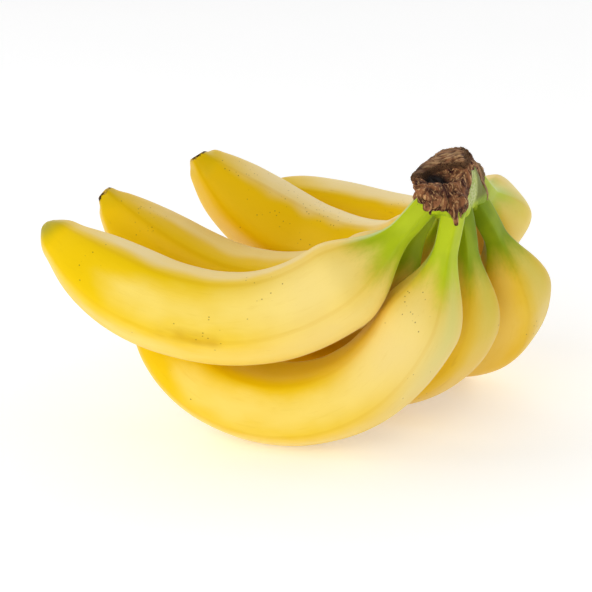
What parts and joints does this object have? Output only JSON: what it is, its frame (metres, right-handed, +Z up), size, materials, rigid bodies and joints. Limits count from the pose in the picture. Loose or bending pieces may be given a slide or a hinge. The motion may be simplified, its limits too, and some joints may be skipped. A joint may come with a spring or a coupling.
{
  "type": "bunch of bananas",
  "caption": "Hand of ripe yellow bananas joined at a dried brown crown, lying on the bellies of its lower row.",
  "frame": {"origin": "on the surface that the bunch lies on, below the middle of its box", "axes": "+Z up; +X from the fingertips towards the crown; +Y from the front finger of the upper row to the back one"},
  "size_m": [0.2159, 0.1846, 0.124],
  "materials": {
    "peel": "waxy, half matt",
    "crown": "dried, rough"
  },
  "bodies": {
    "root": {"crown": "crown", "finger_inner_1": "peel", "finger_inner_2": "peel", "finger_inner_3": "peel", "finger_inner_4": "peel", "finger_outer_1": "peel", "finger_outer_2": "peel", "finger_outer_3": "peel"}
  },
  "joints": []
}
